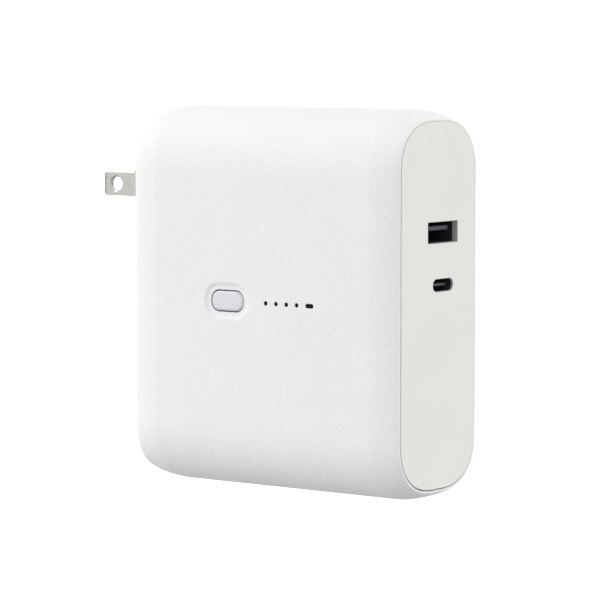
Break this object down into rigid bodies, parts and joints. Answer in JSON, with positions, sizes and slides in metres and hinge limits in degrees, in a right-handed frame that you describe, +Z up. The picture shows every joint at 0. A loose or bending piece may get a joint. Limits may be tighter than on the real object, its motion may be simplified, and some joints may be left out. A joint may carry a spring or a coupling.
{
  "type": "plug-in usb charger",
  "caption": "Plug-in USB wall charger with a built-in battery: rounded off-white casing, USB ports on one end, folding flat-blade plug on the other, check button and indicator dots.",
  "frame": {"origin": "centre of the plug end face, which rests against the wall outlet", "axes": "+X from the plug end face to the port end face, +Z up, -Y the front face with the button and the indicator dots"},
  "size_m": [0.1058, 0.0386, 0.101],
  "materials": {
    "shell": "fine leather-like grain, matt off-white",
    "panel": "smooth satin warm off-white",
    "button": "satin, faintly cool off-white",
    "smoked": "dark tinted, smooth",
    "nickel": "nickel-plated brass, lightly brushed",
    "steel": "stamped and plated",
    "connector_plastic": "moulded, dark grey",
    "black_plastic": "moulded",
    "circuit_board": "solder mask over glass fibre",
    "cell": "shrink sleeve over a steel can",
    "copper": "bare or enamelled copper alloy",
    "ferrite": "sintered, dark grey",
    "aluminium": "bare sheet or can",
    "pale_sheet": "insulating sheet or ceramic",
    "led": "clear moulding over a phosphor",
    "film_box": "moulded box",
    "red_wire": "wire insulation",
    "black_wire": "wire insulation"
  },
  "bodies": {
    "case": {"main_sleeve": "shell", "port_end_panel": "panel", "plug_end_panel": "panel", "plug_housing": "panel", "contact_spring_front": "copper", "contact_spring_rear": "copper", "detent_spring": "steel", "housing_screw_upper": "steel", "housing_screw_lower": "steel", "switch_body": "steel", "light_guide": "smoked", "indicator_board": "circuit_board", "charge_led_1": "led", "charge_led_2": "led", "charge_led_3": "led", "charge_led_4": "led", "status_led": "led", "usb_a_shell": "steel", "usb_a_insulator": "connector_plastic", "usb_c_shell": "steel", "usb_c_insulator": "connector_plastic", "port_board": "circuit_board", "battery_cell_lower": "cell", "battery_cell_upper": "cell", "cell_cradle": "black_plastic", "nickel_tab_positive": "nickel", "nickel_tab_negative": "nickel", "nickel_link": "nickel", "insulation_sheet": "pale_sheet", "power_board": "circuit_board", "transformer_core": "ferrite", "transformer_winding": "copper", "bulk_capacitor_upper": "black_plastic", "bulk_capacitor_lower": "black_plastic", "mains_choke": "copper", "film_capacitor": "film_box", "bridge_rectifier": "black_plastic", "mains_fuse": "pale_sheet", "output_inductor": "ferrite", "output_capacitor": "aluminium", "power_switch": "black_plastic", "heat_spreader": "aluminium", "mains_lead_front": "black_wire", "mains_lead_rear": "black_wire", "battery_lead_positive": "red_wire", "battery_lead_negative": "black_wire"},
    "plug": {"plug_rotor": "panel", "blade_front": "nickel", "blade_rear": "nickel"},
    "button": {"button_cap": "button", "switch_plunger": "black_plastic"}
  },
  "joints": [
    {"name": "plug_fold", "type": "hinge", "parent": "case", "child": "plug", "pos_m": [0.0036, 0, 0.029], "axis": [0, -1, 0], "range_deg": [0, 90]},
    {"name": "button_press", "type": "slide", "parent": "case", "child": "button", "axis": [0, 1, 0], "range_m": [0, 0.0004], "stiffness_N_per_m": 2500, "springref_m": -0.0003}
  ]
}
